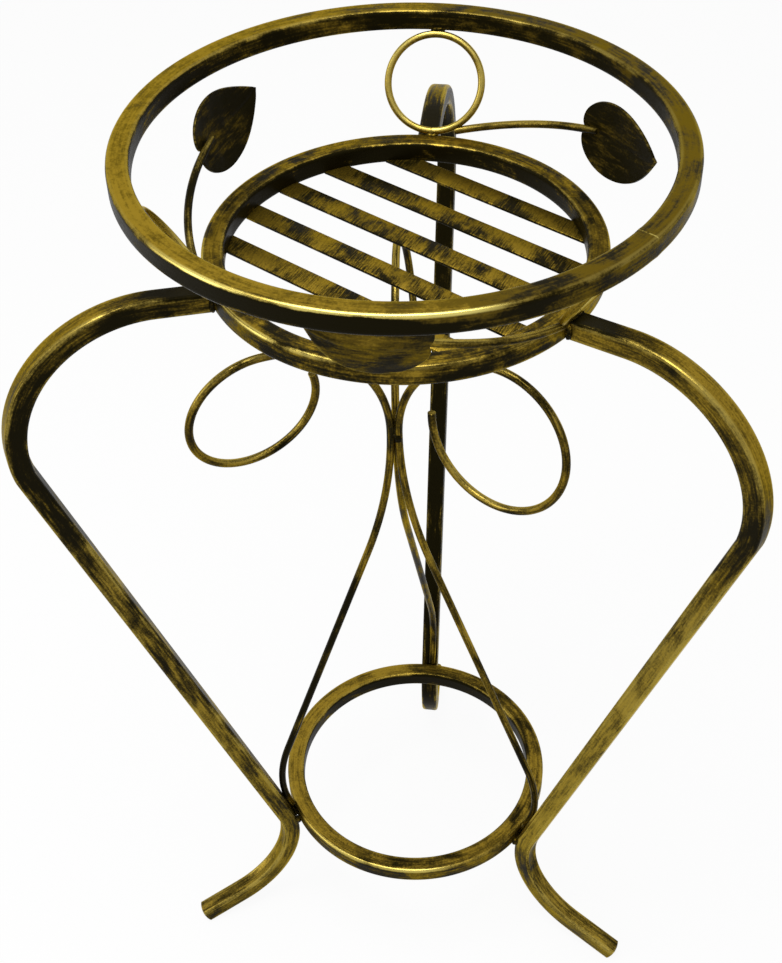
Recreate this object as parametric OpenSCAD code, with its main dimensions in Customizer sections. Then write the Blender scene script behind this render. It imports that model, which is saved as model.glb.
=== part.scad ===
// Three-legged welded plant stand: three rings of square tube on three bent
// tube legs, a slatted pot seat, three bent rods that meet at a knot under it,
// and three hoops that each carry a stem and a leaf.
// The legs stand at 90 (rear), 210 (left) and 330 degrees (right) round the
// rings' common axis, and everything else repeats with them.

/* [Square tube] */
// Width and height of the square tube of the rings and the legs
bar = 10.5; // [8:0.5:11]
// Radius on the corners of that tube
bar_corner = 1.7; // [1:0.1:2.2]

/* [Rings] */
// Outer diameter of the top ring
top_ring_diameter = 262; // [240:1:290]
// Outer diameter of the ring that the pot stands in
pot_ring_diameter = 190; // [170:5:200]
// Outer diameter of the bottom ring
bottom_ring_diameter = 164; // [140:2:180]
// Height of the bottom ring's middle above the floor
bottom_ring_height = 77; // [72:1:90]
// Height of the pot ring's middle above the floor
pot_ring_height = 478; // [440:2:520]
// Height of the top ring's middle above the pot ring's
top_ring_rise = 54; // [46:1:62]

/* [Legs] */
// Angle at which a leg climbs away from the pot ring
leg_rise = 8; // [4:0.2:14]
// The same angle of the right leg, which is welded on flatter
right_leg_rise = 5.8; // [2:0.2:14]
// How far a leg's end sits below the pot ring's middle
leg_drop = 1.4; // [0:0.2:2]
// Radius of the wide bend at the shoulder
shoulder_radius = 65; // [50:1:75]
// The same radius of the rear leg, which is bent wider
rear_shoulder_radius = 69; // [50:1:75]
// Radius of the short bend under the shoulder
knuckle_radius = 23.5; // [15:0.5:40]
// Turn of that short bend
knuckle_turn = 8; // [2:1:16]
// Lean of the long straight run from the vertical
leg_lean = 17.7; // [14:0.1:20]
// Radius of the bend above the foot
foot_radius = 52; // [40:0.5:56]
// The same radius of the rear leg
rear_foot_radius = 40.5; // [36:0.5:56]
// Fall of the foot towards its toe
foot_slope = 16.6; // [8:0.2:18]
// Length of the straight foot
foot_length = 32; // [24:1:44]
// The same length of the left leg, which is cut shorter
left_foot_length = 29; // [24:1:44]
// Turn of the foot out of its leg's plane
foot_turn = 3.2; // [0:0.1:6]
// The same turn of the right leg
right_foot_turn = 5.3; // [0:0.1:6]
// Radius of the domed cap that closes the toe
toe_dome = 12; // [9:0.5:20]
// How far the legs stand off their thirds of the circle
leg_skew = -0.3; // [-2:0.1:2]
// The same of the rear leg
rear_leg_skew = 1.2; // [-2:0.1:2]
// Sideways tilt of the left leg at its weld to the pot ring
left_leg_tilt = 0.4; // [0:0.1:1]
// Gap between the bottom ring and a leg, which the weld fills
leg_ring_gap = 1; // [0.4:0.1:1.6]

/* [Pot seat] */
// Number of flat slats
slat_count = 5; // [5:5]
// Width of a slat
slat_width = 11.6; // [10:0.2:18]
// Thickness of a slat
slat_thickness = 1.5; // [1:0.25:3]
// Distance from one slat to the next
slat_pitch = 27; // [22:0.2:29]
// How far the middle slat lies behind the rings' axis
slat_shift = 11.4; // [0:0.2:12]
// Direction in which the slats run
slat_angle = -30.5; // [-60:0.5:0]

/* [Scroll rods] */
// Diameter of the round rod of the scrolls
rod = 4.2; // [3:0.2:5]
// How far the knot where the three rods meet lies below the pot ring's middle
knot_drop = 114; // [100:1:140]
// How far the knot lies to the left of the rings' axis
knot_shift = 7.4; // [0:0.2:10]
// Radius in which a rod spreads below the knot
spread_radius = 222; // [180:2:260]
// Radius in which its lower end turns back
toe_in_radius = 80; // [60:1:100]
// Slope of that lower end, beside the leg
toe_in_angle = 19; // [15:0.5:24]
// The right rod's radius below the knot, as it is bent by hand
right_spread_radius = 202; // [180:2:260]
// The right rod's radius where it turns back
right_toe_in_radius = 68; // [60:1:100]
// Slope of the right rod's lower end
right_toe_in_angle = 22; // [15:0.5:24]
// How far round the bottom ring the right rod ends past its leg
right_rod_round = 3; // [0:0.5:5]
// Height of the rod's lower end above the bottom ring's middle
rod_end_rise = 4.5; // [1:0.5:6]
// Distance of a curl's centre from the knot
curl_reach = 65.4; // [58:0.2:72]
// Height of a curl's centre above the knot
curl_rise = 29.6; // [24:0.2:36]
// Radius of a curl, to the middle of the rod
curl_radius = 39.4; // [34:0.2:42]
// Full turn of a rod above the knot, up to its free end
curl_turn = 357; // [330:1:365]
// Lean of a curl, which lets its free end pass the rod
curl_lean = 6.4; // [5:0.2:14]
// Extra turn of the rear curl about the knot
rear_curl_swing = 12; // [0:1:20]
// Extra turn of the right curl about the knot
right_curl_swing = -2.8; // [-10:0.2:10]
// The left curl is bent tighter and higher: its centre's distance from the knot
left_curl_reach = 75.4; // [68:0.2:80]
// Height of the left curl's centre above the knot
left_curl_rise = 43.4; // [36:0.2:48]
// Radius of the left curl, to the middle of the rod
left_curl_radius = 33.8; // [30:0.2:38]
// Full turn of the left rod above the knot, up to its free end
left_curl_turn = 380; // [340:1:385]
// Extra turn of the left curl about the knot
left_curl_swing = 5.2; // [0:0.2:10]

/* [Hoops, stems and leaves] */
// Diameter of the round rod of the hoops
hoop_rod = 3.6; // [3:0.2:5]
// Gap between a hoop and each ring, which the weld fills
hoop_gap = 0.3; // [0.1:0.1:0.6]
// Diameter of the rod of a leaf's stem
stem_rod = 3.8; // [3:0.2:5]
// Angle round the ring from a hoop to the stem's root
stem_root_angle = 7; // [5:0.5:12]
// How far outside the pot ring's edge the stem's root stands
stem_root_reach = 2.2; // [1:0.2:3]
// Angle at which a stem climbs from its root
stem_climb = 14.4; // [8:0.2:20]
// Angle at which it heads outwards
stem_flare = 6.6; // [0:0.2:12]
// Radius in which it bends back inwards
stem_radius = 108.5; // [90:0.5:140]
// Turn of that bend
stem_turn = 44; // [30:1:52]
// Tilt of the bend's plane
stem_tilt = 6.5; // [0:0.5:12]
// Length of a leaf from its notch to its point
leaf_length = 51.2; // [40:0.2:58]
// Width of a leaf across its lobes, as a share of a round one
leaf_fullness = 0.21; // [0.1:0.01:0.5]
// Thickness of the leaf's sheet
leaf_thickness = 1.2; // [0.8:0.1:2]
// Radius of the dish pressed into a leaf
leaf_dish = 110; // [60:5:160]
// How far the stem laps over a leaf
leaf_lap = 9.6; // [4:0.2:14]
// Slope of the rear leaf's point against the line of its stem
rear_leaf_slope = -13.8; // [-30:0.2:20]
// Turn of the rear leaf about its stem
rear_leaf_turn = -11.8; // [-40:0.2:10]
// Slope of the left leaf's point against the line of its stem
left_leaf_slope = -11; // [-30:0.2:20]
// Turn of the left leaf about its stem
left_leaf_turn = -21; // [-40:0.2:10]
// Slope of the right leaf's point against the line of its stem
right_leaf_slope = -5; // [-30:0.2:20]
// Turn of the right leaf about its stem
right_leaf_turn = -18; // [-40:0.2:10]

/* [Welds] */
// Depth to which a welded end is let into its neighbour
seat = 0.3; // [0.1:0.1:0.5]
// Radius of the spots beside a leg's upper end
leg_bead = 2.6; // [1.8:0.1:3.2]
// Radius of the spots between the bottom ring and a leg
foot_bead = 2.4; // [1.8:0.1:3]
// Radius of the spots that hold a hoop
hoop_bead = 2.8; // [2.2:0.1:3.4]
// Diameter of the lump round the knot
knot_bead = 10; // [9.4:0.1:12]

/* [Hidden] */

// round stretches are drawn finely enough to keep their size
round_fn = 96;
corner_fn = 24;
rod_fn = 24;
weld_fn = 360;
spot_fn = 48;
// how far a slimmer stretch of a bent bar laps into the next, and by how much
// it is slimmer on each side
lap = 0.5;
hair = 0.01;
$slim = 0;

rear = 90;
left = 210;
right = 330;

top_ring_height = pot_ring_height + top_ring_rise;
pot_ring_wall = pot_ring_diameter / 2 - bar;
knot_height = pot_ring_height - knot_drop;
half = bar / 2;

// ---- legs: the two straight runs that join the bends are solved from the
// ring that the leg starts on and the ring that it passes ----
function rise(az) = az == right ? right_leg_rise : leg_rise;
function shoulder(az) = az == rear ? rear_shoulder_radius : shoulder_radius;
function foot(az) = az == rear ? rear_foot_radius : foot_radius;
function toe_run(az) = az == left ? left_foot_length : foot_length;
function toe_turn(az) = az == right ? right_foot_turn : foot_turn;
function skew(az) = az == rear ? rear_leg_skew : leg_skew;
function tilt(az) = az == left ? left_leg_tilt : 0;
toe_back = toe_dome - sqrt(toe_dome * toe_dome - half * half);
touch_z = bottom_ring_height - half + bar_corner;
touch_r = bottom_ring_diameter / 2 + leg_ring_gap;
function foot_centre_z(az) = (toe_run(az) - toe_back) * sin(foot_slope)
                           + (foot(az) + half) * cos(foot_slope);
function foot_centre_r(az) = touch_r
                           + sqrt(pow(foot(az) + half, 2) - pow(touch_z - foot_centre_z(az), 2));
function shoulder_turn(az) = 90 + rise(az) + leg_lean - knuckle_turn;
down_run = -90 - leg_lean;
function bend_r(radius, from, to) = radius * (sin(from) - sin(to));
function bend_z(radius, from, to) = radius * (cos(to) - cos(from));
function leg_start_r(az) = pot_ring_diameter / 2 - seat - half * sin(rise(az));
leg_start_z = pot_ring_height - leg_drop;
function left_over_r(az) = foot_centre_r(az) + foot(az) * sin(down_run) - leg_start_r(az)
                         - bend_r(shoulder(az), rise(az), rise(az) - shoulder_turn(az))
                         - bend_r(knuckle_radius, rise(az) - shoulder_turn(az), down_run);
function left_over_z(az) = foot_centre_z(az) - foot(az) * cos(down_run) - leg_start_z
                         - bend_z(shoulder(az), rise(az), rise(az) - shoulder_turn(az))
                         - bend_z(knuckle_radius, rise(az) - shoulder_turn(az), down_run);
function root_run(az) = (left_over_r(az) * sin(down_run) - left_over_z(az) * cos(down_run))
                      / sin(down_run - rise(az));
function long_run(az) = (cos(rise(az)) * left_over_z(az) - sin(rise(az)) * left_over_r(az))
                      / sin(down_run - rise(az));
function leg_reach(az) = leg_start_r(az) + root_run(az) * cos(rise(az))
                       + shoulder(az) * sin(rise(az)) + shoulder(az) + half;

// the whole stand's box has its middle over the origin, so the rings' axis
// lies in front of it by half of what the rear leg reaches past the front
function corner_reach(a) = (half - bar_corner) * (abs(sin(a)) + abs(cos(a))) + bar_corner;
function reach_to(az, a) = (leg_reach(az) - half) * cos(az + skew(az) - a)
                         + corner_reach(az + skew(az) - a);
back_reach = reach_to(rear, rear);
front_reach = max(top_ring_diameter / 2, reach_to(left, 270), reach_to(right, 270));
axis_y = (front_reach - back_reach) / 2;
axis_x = (reach_to(left, 180) - reach_to(right, 0)) / 2;

// ---- scroll rods ----
function spread_r(az) = az == right ? right_spread_radius : spread_radius;
function toe_in_r(az) = az == right ? right_toe_in_radius : toe_in_radius;
function toe_in(az) = az == right ? right_toe_in_angle : toe_in_angle;
function round_by(az) = az == right ? right_rod_round : 0;
knot_r = rod / sqrt(3);
rod_end_z = bottom_ring_height + rod_end_rise;
rod_end_r = bottom_ring_diameter / 2 + rod / 2 - seat;
function rod_end(az) = [rod_end_r * cos(az + round_by(az)) + knot_shift,
                        rod_end_r * sin(az + round_by(az))];
function scroll_plane(az) = atan2(rod_end(az)[1], rod_end(az)[0]);
function scroll_span(az) = norm(rod_end(az));
// straight stretch between the two opposite bends of a rod's lower half
function across(az) = scroll_span(az) - knot_r - spread_r(az)
                    - toe_in_r(az) * cos(toe_in(az));
function drop(az) = knot_height - rod_end_z - toe_in_r(az) * sin(toe_in(az));
function straight(az) = sqrt(pow(across(az), 2) + pow(drop(az), 2)
                             - pow(spread_r(az) + toe_in_r(az), 2));
function spread(az) = atan2(drop(az), -across(az))
                    - atan2(straight(az), spread_r(az) + toe_in_r(az));
// the first bend above the knot runs tangent into the curl's circle
function swell_radius(reach, rise, radius)
  = (pow(reach - knot_r, 2) + rise * rise - radius * radius) / (2 * (reach - knot_r - radius));
function swell_turn(reach, rise, radius)
  = 180 - atan2(rise, reach - knot_r - swell_radius(reach, rise, radius));

// ---- hoops: each lies on the line between the two rounded ring edges ----
low_edge = [pot_ring_diameter / 2 - bar_corner, pot_ring_height + half - bar_corner];
high_edge = [top_ring_diameter / 2 - bar + bar_corner, top_ring_height - half + bar_corner];
hoop_lean = atan2(high_edge[0] - low_edge[0], high_edge[1] - low_edge[1]);
hoop_size = norm(high_edge - low_edge) - 2 * bar_corner - 2 * hoop_gap;
hoop_radius = (hoop_size - hoop_rod) / 2;
hoop_middle = (low_edge + high_edge) / 2;
hoop_touch = hoop_size / 2 + hoop_gap / 2;

// ---- stems ----
stem_root_r = pot_ring_diameter / 2 + stem_root_reach;
stem_root_z = pot_ring_height + half + stem_rod / 2 - seat;
// how far a leaf's notch stands off its dish's middle, and off the straight
// line of its stem's tip
leaf_middle = leaf_length * 0.4;
notch_sag = leaf_dish - sqrt(leaf_dish * leaf_dish - leaf_middle * leaf_middle)
          - stem_radius + sqrt(stem_radius * stem_radius - leaf_lap * leaf_lap);

// ---------------------------------------------------------------- helpers

module about_axis() {
  translate([axis_x, axis_y, 0]) children();
}

module tube_section() {
  size = bar - 2 * $slim;
  corner = bar_corner - $slim;
  square([size, size - 2 * corner], center = true);
  square([size - 2 * corner, size], center = true);
  for (x = [-1, 1], y = [-1, 1])
    translate([x, y] * (half - bar_corner)) circle(r = corner, $fn = corner_fn);
}

module rod_section(diameter) {
  circle(d = diameter - 2 * $slim, $fn = rod_fn);
}

module ring(diameter, height) {
  about_axis() translate([0, 0, height])
    rotate_extrude($fn = round_fn) translate([diameter / 2 - half, 0]) tube_section();
}

// A bar bent to shape: each step is ["run", length], ["bend", radius, turn],
// ["turn", angle, axis] or, at its end, ["dome", length, radius]. It travels
// along +Z and bends towards +X. Every other stretch is a hair slimmer and laps
// into its neighbours, so that all of them join into one solid. The section,
// given as the child, takes $slim off itself.
module bent_bar(steps, i = 0, slim = true) {
  if (i < len(steps)) {
    kind = steps[i][0];
    size = steps[i][1];
    before = slim && i > 0 ? lap : 0;
    after = slim && i < len(steps) - 1 ? lap : 0;
    $slim = slim ? hair : 0;
    if (kind == "run") {
      translate([0, 0, -before]) linear_extrude(size + before + after) children();
      translate([0, 0, size]) bent_bar(steps, i + 1, !slim) children();
    }
    if (kind == "bend") {
      turn = abs(steps[i][2]);
      side = steps[i][2] < 0 ? 180 : 0;
      degrees = 180 / PI / size;
      rotate([0, 0, side]) {
        translate([size, 0, 0]) rotate([90, 0, 180]) rotate([0, 0, -before * degrees])
          rotate_extrude(angle = turn + (before + after) * degrees, $fn = round_fn)
            translate([size, 0]) children();
        translate([size, 0, 0]) rotate([0, turn, 0]) translate([-size, 0, 0])
          rotate([0, 0, -side]) bent_bar(steps, i + 1, !slim) children();
      }
    }
    if (kind == "turn") {
      rotate(a = size, v = steps[i][2]) bent_bar(steps, i + 1, slim) children();
    }
    if (kind == "dome") {
      intersection() {
        translate([0, 0, -before]) linear_extrude(size + before + 1) children();
        translate([0, 0, size - steps[i][2]]) sphere(r = steps[i][2], $fn = round_fn);
      }
    }
  }
}

module slat(n) {
  offset_y = slat_shift + (n - (slat_count + 1) / 2) * slat_pitch;
  about_axis() translate([0, 0, pot_ring_height - half]) intersection() {
    rotate([0, 0, slat_angle]) translate([-pot_ring_wall - bar, offset_y - slat_width / 2, 0])
      cube([2 * (pot_ring_wall + bar), slat_width, slat_thickness]);
    translate([0, 0, -1])
      cylinder(r = pot_ring_wall, h = slat_thickness + 2, $fn = round_fn);
  }
}

// The plane in which a leg is bent, with +X outwards
module leg_plane(az) {
  rotate([0, 0, az + skew(az)]) translate([0, 0, leg_start_z]) rotate([tilt(az), 0, 0])
    translate([0, 0, -leg_start_z]) children();
}

module leg(az) {
  about_axis() difference() {
    leg_plane(az) translate([leg_start_r(az), 0, leg_start_z])
      rotate([0, 90 - rise(az), 0])
        bent_bar([["run", root_run(az)],
                  ["bend", shoulder(az), shoulder_turn(az)],
                  ["bend", knuckle_radius, knuckle_turn],
                  ["run", long_run(az)],
                  ["turn", toe_turn(az), [sin(leg_lean), 0, -cos(leg_lean)]],
                  ["bend", foot(az), foot_slope - 90 - leg_lean],
                  ["run", toe_run(az) - half],
                  ["dome", half, toe_dome]]) tube_section();
    // the upper end is coped to the pot ring's round face
    translate([0, 0, pot_ring_height - bar])
      cylinder(r = pot_ring_diameter / 2 - seat, h = 2 * bar, $fn = round_fn);
  }
}

module scroll(az, swing, reach = curl_reach, rise = curl_rise, radius = curl_radius,
              turn = curl_turn) {
  about_axis() translate([-knot_shift, 0, 0]) rotate([0, 0, scroll_plane(az)])
    translate([scroll_span(az), 0, rod_end_z]) rotate([0, toe_in(az), 0])
      bent_bar([["bend", toe_in_r(az), -toe_in(az) - spread(az)],
                ["run", straight(az)],
                ["bend", spread_r(az), spread(az)],
                ["turn", swing, [0, 0, 1]],
                ["bend", swell_radius(reach, rise, radius), swell_turn(reach, rise, radius)],
                ["turn", -curl_lean, [0, 0, 1]],
                ["bend", radius, turn - swell_turn(reach, rise, radius)]])
        rod_section(rod);
}

module hoop(az) {
  about_axis() rotate([0, 0, az]) translate([hoop_middle[0], 0, hoop_middle[1]])
    rotate([0, 90 + hoop_lean, 0])
      rotate_extrude($fn = round_fn) translate([hoop_radius, 0]) rod_section(hoop_rod);
}

// Everything on a stem's own line: its root on the ring, then its heading
module on_stem(az) {
  about_axis() rotate([0, 0, az - stem_root_angle])
    translate([stem_root_r, 0, stem_root_z]) rotate([0, 0, stem_flare])
      rotate([90 - stem_climb, 0, 0]) rotate([0, 0, 180 - stem_tilt]) children();
}

module stem(az) {
  on_stem(az) bent_bar([["bend", stem_radius, stem_turn]], slim = false) rod_section(stem_rod);
}

// Heart-shaped outline with its notch at the origin and its point on +X
module leaf_outline() {
  polygon([for (a = [-180 : 6 : 174])
    let (d = 1 - abs(a) / 180,
         r = leaf_length * ((1 - leaf_fullness) * pow(d, 3)
                            + leaf_fullness * (1 + cos(a)) / 2))
    [r * cos(a), r * sin(a)]]);
}

module leaf(az, slope, turn) {
  on_stem(az) translate([stem_radius, 0, 0]) rotate([0, stem_turn, 0])
    translate([-stem_radius, 0, 0])
      // now at the stem's tip: +Z along the stem, +X inwards
      rotate([0, 0, turn])
        translate([seat - notch_sag - (stem_rod + leaf_thickness) / 2, 0, -leaf_lap])
        rotate([slope, 0, 0]) rotate([0, -90, 0])
          intersection() {
            translate([0, 0, -leaf_dish]) linear_extrude(2 * leaf_dish) leaf_outline();
            translate([leaf_middle, 0, -leaf_dish + leaf_thickness / 2]) difference() {
              sphere(r = leaf_dish, $fn = round_fn);
              sphere(r = leaf_dish - leaf_thickness, $fn = round_fn);
              translate([-leaf_dish - 1, -leaf_dish - 1, -leaf_dish - 1])
                cube([2 * leaf_dish + 2, 2 * leaf_dish + 2, leaf_dish + 1]);
            }
          }
}

// ------------------------------------------------------------- sub-parts

module top_ring() { color("darkgoldenrod") ring(top_ring_diameter, top_ring_height); }
module pot_ring() { color("darkgoldenrod") ring(pot_ring_diameter, pot_ring_height); }
module bottom_ring() { color("darkgoldenrod") ring(bottom_ring_diameter, bottom_ring_height); }

module slat_1() { color("olive") slat(1); }
module slat_2() { color("olive") slat(2); }
module slat_3() { color("olive") slat(3); }
module slat_4() { color("olive") slat(4); }
module slat_5() { color("olive") slat(5); }

module rear_leg() { color("goldenrod") leg(rear); }
module left_leg() { color("goldenrod") leg(left); }
module right_leg() { color("goldenrod") leg(right); }

module rear_scroll() { color("darkkhaki") scroll(rear, rear_curl_swing); }
module left_scroll() {
  color("darkkhaki") scroll(left, left_curl_swing, left_curl_reach, left_curl_rise,
                            left_curl_radius, left_curl_turn);
}
module right_scroll() { color("darkkhaki") scroll(right, right_curl_swing); }

module rear_hoop() { color("gold") hoop(rear); }
module left_hoop() { color("gold") hoop(left); }
module right_hoop() { color("gold") hoop(right); }

module rear_stem() { color("peru") stem(rear); }
module left_stem() { color("peru") stem(left); }
module right_stem() { color("peru") stem(right); }

module rear_leaf() { color("saddlebrown") leaf(rear, rear_leaf_slope, rear_leaf_turn); }
module left_leaf() { color("saddlebrown") leaf(left, left_leaf_slope, left_leaf_turn); }
module right_leaf() { color("saddlebrown") leaf(right, right_leaf_slope, right_leaf_turn); }

// The lump that joins the three rods where they touch
module knot_weld() {
  color("dimgray") about_axis() translate([-knot_shift, 0, knot_height]) difference() {
    sphere(d = knot_bead, $fn = round_fn);
    for (az = [rear, left, right]) rotate([0, 0, scroll_plane(az)])
      translate([knot_r, 0, 0])
        cylinder(d = rod, h = 2 * knot_bead, center = true, $fn = rod_fn);
    cylinder(d = rod / 2, h = 2 * knot_bead, center = true, $fn = rod_fn);
  }
}

// Spots on both sides of each leg's upper end, on the pot ring's face
module leg_welds() {
  color("dimgray") about_axis() difference() {
    for (az = [rear, left, right]) leg_plane(az) difference() {
      for (side = [-1, 1]) translate([pot_ring_diameter / 2, side * half, leg_start_z])
        sphere(r = leg_bead, $fn = spot_fn);
      translate([pot_ring_diameter / 2, 0, leg_start_z]) cube(bar, center = true);
    }
    translate([0, 0, pot_ring_height - bar])
      cylinder(d = pot_ring_diameter, h = 2 * bar, $fn = weld_fn);
  }
}

// Spots on both sides of each leg that bridge the gap to the bottom ring
module foot_welds() {
  color("dimgray") about_axis() difference() {
    for (az = [rear, left, right]) leg_plane(az) difference() {
      for (side = [-1, 1]) translate([touch_r, side * half, touch_z])
        sphere(r = foot_bead, $fn = spot_fn);
      translate([touch_r, 0, touch_z]) cube(bar, center = true);
    }
    translate([0, 0, touch_z - bar])
      cylinder(d = bottom_ring_diameter, h = 2 * bar, $fn = weld_fn);
  }
}

// Spots that hold each hoop on the pot ring and under the top ring
module hoop_welds() {
  color("dimgray") for (az = [rear, left, right]) difference() {
    about_axis() rotate([0, 0, az]) translate([hoop_middle[0], 0, hoop_middle[1]])
      rotate([0, hoop_lean, 0]) for (side = [-1, 1])
        translate([0, 0, side * hoop_touch]) sphere(r = hoop_bead, $fn = spot_fn);
    hoop(az);
    pot_ring();
    top_ring();
  }
}

top_ring();
pot_ring();
bottom_ring();
slat_1();
slat_2();
slat_3();
slat_4();
slat_5();
rear_leg();
left_leg();
right_leg();
rear_scroll();
left_scroll();
right_scroll();
rear_hoop();
left_hoop();
right_hoop();
rear_stem();
left_stem();
right_stem();
rear_leaf();
left_leaf();
right_leaf();
knot_weld();
leg_welds();
foot_welds();
hoop_welds();
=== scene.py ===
import bpy
from math import sin, cos, atan2, radians, degrees, pi, sqrt, hypot
from mathutils import Matrix, Vector, noise


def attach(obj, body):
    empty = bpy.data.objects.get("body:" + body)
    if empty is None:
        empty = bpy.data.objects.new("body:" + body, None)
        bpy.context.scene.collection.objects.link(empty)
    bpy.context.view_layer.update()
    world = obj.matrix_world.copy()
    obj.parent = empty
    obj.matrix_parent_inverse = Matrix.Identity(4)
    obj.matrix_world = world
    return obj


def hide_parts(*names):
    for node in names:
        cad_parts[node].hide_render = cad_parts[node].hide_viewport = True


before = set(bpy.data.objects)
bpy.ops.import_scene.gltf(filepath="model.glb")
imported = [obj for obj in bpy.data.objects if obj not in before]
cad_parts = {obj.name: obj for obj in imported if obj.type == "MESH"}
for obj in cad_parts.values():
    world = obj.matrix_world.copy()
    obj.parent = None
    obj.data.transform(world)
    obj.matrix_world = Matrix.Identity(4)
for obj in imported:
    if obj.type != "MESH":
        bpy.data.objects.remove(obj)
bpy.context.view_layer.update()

# ---------------------------------------------------------------- top ring
# The stand's rim: square steel tube rolled flat into a circle, its two ends
# butt welded at the right, black enamel with gold dragged over it by brush.

axis = Vector((0.000712, -0.033473, 0))     # where the rings' common axis passes
tube = 0.0105
tube_half = tube / 2
tube_corner, corner_steps, side_cuts = 0.0017, 4, 6
top_ring_across, top_ring_height = 0.262, 0.532
ring_steps = 240
seam, seam_reach, seam_lift = radians(-30.3), 0.013, 0.00028
same_place = 0.000002                       # vertices closer than this are merged


def fresh():
    """Leaves no object selected, so that the next operator takes only its own."""
    if bpy.context.object and bpy.context.object.mode != "OBJECT":
        bpy.ops.object.mode_set(mode="OBJECT")
    bpy.ops.object.select_all(action="DESELECT")


def tube_outline(place, turned):
    """The tube's rounded square section as a loop of edges, ready to be swept."""
    fresh()
    bpy.ops.mesh.primitive_plane_add(size=tube, location=place, rotation=turned)
    bar = bpy.context.object
    bpy.ops.object.transform_apply(location=True, rotation=True, scale=True)
    bpy.ops.object.mode_set(mode="EDIT")
    bpy.ops.mesh.select_all(action="SELECT")
    bpy.ops.mesh.bevel(offset=tube_corner, segments=corner_steps, affect="VERTICES")
    bpy.ops.mesh.delete(type="ONLY_FACE")
    bpy.ops.mesh.select_all(action="DESELECT")
    bpy.ops.object.mode_set(mode="OBJECT")
    # only the four flat sides are longer than half the tube
    for e in bar.data.edges:
        a, b = (bar.data.vertices[i].co for i in e.vertices)
        e.select = (a - b).length > tube_half
    bpy.ops.object.mode_set(mode="EDIT")
    bpy.ops.mesh.subdivide(number_cuts=side_cuts)
    bpy.ops.mesh.select_all(action="SELECT")
    return bar


def close_up(piece, name, merge=True):
    """Merges doubles, turns the faces outwards and gives the piece its own name."""
    bpy.ops.object.mode_set(mode="EDIT")
    bpy.ops.mesh.select_all(action="SELECT")
    if merge:
        bpy.ops.mesh.remove_doubles(threshold=same_place)
    bpy.ops.mesh.normals_make_consistent(inside=False)
    bpy.ops.object.mode_set(mode="OBJECT")
    bpy.ops.object.shade_smooth()
    piece.name = name
    piece.data.name = name
    return piece


def roll_ring(name, across, height):
    """Square tube rolled flat round the stand's axis."""
    ring = tube_outline((axis.x + across / 2 - tube_half, axis.y, height), (pi / 2, 0, 0))
    bpy.ops.mesh.spin(steps=ring_steps, angle=2 * pi, center=(axis.x, axis.y, height),
                      axis=(0, 0, 1))
    return close_up(ring, name)


class Shade:
    """A value in a material's node tree. Sums on it add their Math nodes."""

    def __init__(self, tree, socket=None):
        self.tree, self.socket = tree, socket

    def make(self, kind, settings=None, inputs=None, out=0):
        """Adds a node: its settings first, then its sockets' values or links."""
        n = self.tree.nodes.new("ShaderNode" + kind)
        for key, value in (settings or {}).items():
            setattr(n, key, value)
        for key, value in (inputs or {}).items():
            if isinstance(value, Shade):
                self.tree.links.new(value.socket, n.inputs[key])
            else:
                n.inputs[key].default_value = value
        return Shade(self.tree, n.outputs[out])

    def maths(self, operation, *values):
        return self.make("Math", {"operation": operation}, dict(enumerate(values)))

    def __add__(self, b): return self.maths("ADD", self, b)
    def __radd__(self, b): return self.maths("ADD", b, self)
    def __sub__(self, b): return self.maths("SUBTRACT", self, b)
    def __rsub__(self, b): return self.maths("SUBTRACT", b, self)
    def __mul__(self, b): return self.maths("MULTIPLY", self, b)
    def __rmul__(self, b): return self.maths("MULTIPLY", b, self)
    def __truediv__(self, b): return self.maths("DIVIDE", self, b)
    def __rtruediv__(self, b): return self.maths("DIVIDE", b, self)
    def __neg__(self): return self.maths("MULTIPLY", self, -1.0)
    def __abs__(self): return self.maths("ABSOLUTE", self)

    def between(self, low, high):
        """0 below low, 1 above high, and a smooth rise from one to the other."""
        return self.make("MapRange", {"interpolation_type": "SMOOTHSTEP"},
                         {"Value": self, "From Min": low, "From Max": high})

    def clamp(self, low=0.0, high=1.0):
        return self.maths("MINIMUM", self.maths("MAXIMUM", self, low), high)

    def blend(self, a, b):
        """The colour a where this is 0 and b where it is 1."""
        # a Mix node has its sockets for every kind of value, and colour's are these
        return self.make("Mix", {"data_type": "RGBA"}, {0: self, 6: a, 7: b}, out=2)

    def parts(self):
        """The three numbers of a place or a direction."""
        return [self.make("SeparateXYZ", {}, {"Vector": self}, out=i) for i in range(3)]

    def grain(self, along, across, up, fourth=0.0, detail=3.0, rough=0.55, warp=0.0):
        """Noise round 0.5 at a place given by four measures."""
        place = self.make("CombineXYZ", {}, {"X": along, "Y": across, "Z": up})
        return self.make("TexNoise", {"noise_dimensions": "4D"},
                         {"Vector": place, "W": fourth, "Scale": 1.0, "Detail": detail,
                          "Roughness": rough, "Distortion": warp})


class Paint:
    """A new finish, with its shader and the place on the piece in millimetres: from
    the rings' axis, or by the measures that were kept with the piece."""

    def __init__(self, name, measure=None):
        self.finish = bpy.data.materials.new(name)
        self.finish.use_nodes = True
        self.tree = self.finish.node_tree
        self.shader = self.tree.nodes["Principled BSDF"]
        self.any = Shade(self.tree)
        if measure:
            spot = self.any.make("Attribute", {"attribute_name": measure}, out="Vector")
            self.x, self.y, self.z = [part * 1000 for part in spot.parts()]
        else:
            x, y, z = [part * 1000 for part in self.any.make("TexCoord", out="Object").parts()]
            self.x, self.y, self.z = x - axis.x * 1000, y - axis.y * 1000, z
        self.facing = self.any.make("TexCoord", out="Normal").parts()

    def set(self, socket, value):
        if isinstance(value, Shade):
            self.tree.links.new(value.socket, self.shader.inputs[socket])
        else:
            self.shader.inputs[socket].default_value = value


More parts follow.
